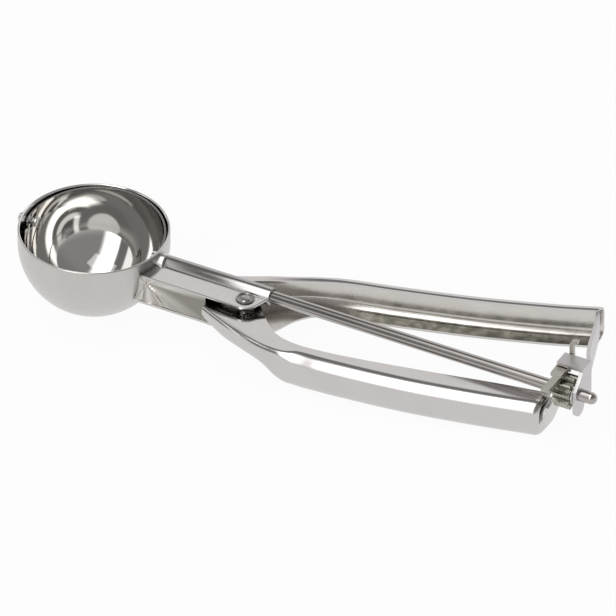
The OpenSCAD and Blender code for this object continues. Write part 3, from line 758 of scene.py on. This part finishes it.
# Table: a plain white sweep that keeps only a soft shadow of the tool. For the camera, and for
# what the steel mirrors, most of its white is a glow of its own.
glow_share = 0.94
table = bmesh.new()
bmesh.ops.create_grid(table, x_segments=2, y_segments=2, size=4)
table_mesh = bpy.data.meshes.new("table_top")
table.to_mesh(table_mesh)
table.free()
table_top = bpy.data.objects.new("table_top", table_mesh)
table_top.location.z = cad_low.z - 0.02 * mm
bpy.context.scene.collection.objects.link(table_top)
paper = bpy.data.materials.new("white_paper")
paper.use_nodes = True
nodes, links = paper.node_tree.nodes, paper.node_tree.links
matt = nodes["Principled BSDF"]
matt.inputs["Base Color"].default_value = (0.8, 0.8, 0.8, 1)
matt.inputs["Roughness"].default_value = 0.9
matt.inputs["Specular IOR Level"].default_value = 0
glow = nodes.new("ShaderNodeEmission")
glow.inputs["Color"].default_value = (1, 1, 1, 1)
path = nodes.new("ShaderNodeLightPath")
either = nodes.new("ShaderNodeMath")
either.operation = "MAXIMUM"
links.new(path.outputs["Is Camera Ray"], either.inputs[0])
links.new(path.outputs["Is Glossy Ray"], either.inputs[1])
share = nodes.new("ShaderNodeMath")
share.operation = "MULTIPLY"
share.inputs[1].default_value = glow_share
links.new(either.outputs["Value"], share.inputs[0])
blend = nodes.new("ShaderNodeMixShader")
links.new(share.outputs["Value"], blend.inputs[0])
links.new(matt.outputs[0], blend.inputs[1])
links.new(glow.outputs[0], blend.inputs[2])
links.new(blend.outputs[0], nodes["Material Output"].inputs["Surface"])
table_mesh.materials.append(paper)


# Studio: a pale tent. Over the table stand a broad white panel in front and a pale wall at
# the back, with darker gaps between them, which the steel needs to show its shape. Two weak
# softboxes, one overhead and one at the left, add the soft shadow.
world = bpy.data.worlds.new("studio_tent")
bpy.context.scene.world = world
world.use_nodes = True
nodes, links = world.node_tree.nodes, world.node_tree.links
tent = nodes["Background"]
place = nodes.new("ShaderNodeTexCoord")
along = nodes.new("ShaderNodeSeparateXYZ")
links.new(place.outputs["Generated"], along.inputs[0])


def between(value, start, end, low, high):
    """Goes smoothly from low at start to high at end; low and high are numbers or sockets."""
    step = nodes.new("ShaderNodeMapRange")
    step.interpolation_type = "SMOOTHSTEP"
    links.new(value, step.inputs["Value"])
    for name, setting in (("From Min", start), ("From Max", end), ("To Min", low), ("To Max", high)):
        if isinstance(setting, bpy.types.NodeSocket):
            links.new(setting, step.inputs[name])
        else:
            step.inputs[name].default_value = setting
    return step.outputs["Result"]


x, y, z = along.outputs["X"], along.outputs["Y"], along.outputs["Z"]
window = between(x, -0.56, -0.5, between(x, -0.74, -0.7, 0.15, 1.3), 0.2)
panel = between(x, 0.0, 0.25, between(x, -0.32, -0.22, window, 3.0), 0.3)
front = between(y, -0.05, 0.3, panel, 0.25)
back = between(y, 0.6, 0.7, front, 1.06)
level = between(z, 0.0, 0.5, 0.88, back)
links.new(level, tent.inputs["Strength"])
white = nodes.new("ShaderNodeBackground")
white.inputs["Color"].default_value = (1, 1, 1, 1)
path = nodes.new("ShaderNodeLightPath")
seen = nodes.new("ShaderNodeMixShader")
links.new(path.outputs["Is Camera Ray"], seen.inputs[0])
links.new(tent.outputs[0], seen.inputs[1])
links.new(white.outputs[0], seen.inputs[2])
links.new(seen.outputs[0], nodes["World Output"].inputs["Surface"])
tent.inputs["Color"].default_value = (1, 0.985, 0.98, 1)

for name, spot, size, power in (
    ("overhead_softbox", (-0.1, -0.35, 1.2), (0.9, 0.5), 0.7),
    ("left_softbox", (-1.0, 0.15, 0.55), (0.25, 0.8), 0.8),
):
    light = bpy.data.lights.new(name, "AREA")
    light.shape = "RECTANGLE"
    light.size, light.size_y = size
    light.energy = power
    lamp = bpy.data.objects.new(name, light)
    lamp.location = spot
    lamp.rotation_euler = (-Vector(spot)).to_track_quat("-Z", "Y").to_euler()
    bpy.context.scene.collection.objects.link(lamp)


# Camera: a long lens at the photograph's angle, which was measured in the tool's own frame.
# Its picture is as wide as the photograph at the photograph's scale.
photo_px, px_per_mm = 616, 2.743
view_right = Vector((0.8821, 0.4710, 0))
view_up = Vector((-0.2802, 0.5247, 0.8039))
view_back = view_right.cross(view_up)
frame_w = photo_px / px_per_mm * mm
camera_far = 10.0
aim_right, aim_down, aim_near = 78.38 * mm, 24.79 * mm, 35 * mm
aim = aim_right * view_right - aim_down * view_up + aim_near * view_back
lens = bpy.data.cameras.new("camera")
lens.lens = lens.sensor_width * camera_far / frame_w
lens.clip_start, lens.clip_end = 1, 30
camera = bpy.data.objects.new("camera", lens)
axes = Matrix((view_right, view_up, view_back)).transposed().to_4x4()
camera.matrix_world = lay_down @ Matrix.Translation(aim + view_back * camera_far) @ axes
bpy.context.scene.collection.objects.link(camera)
bpy.context.scene.camera = camera
bpy.context.scene.view_settings.view_transform = "Standard"
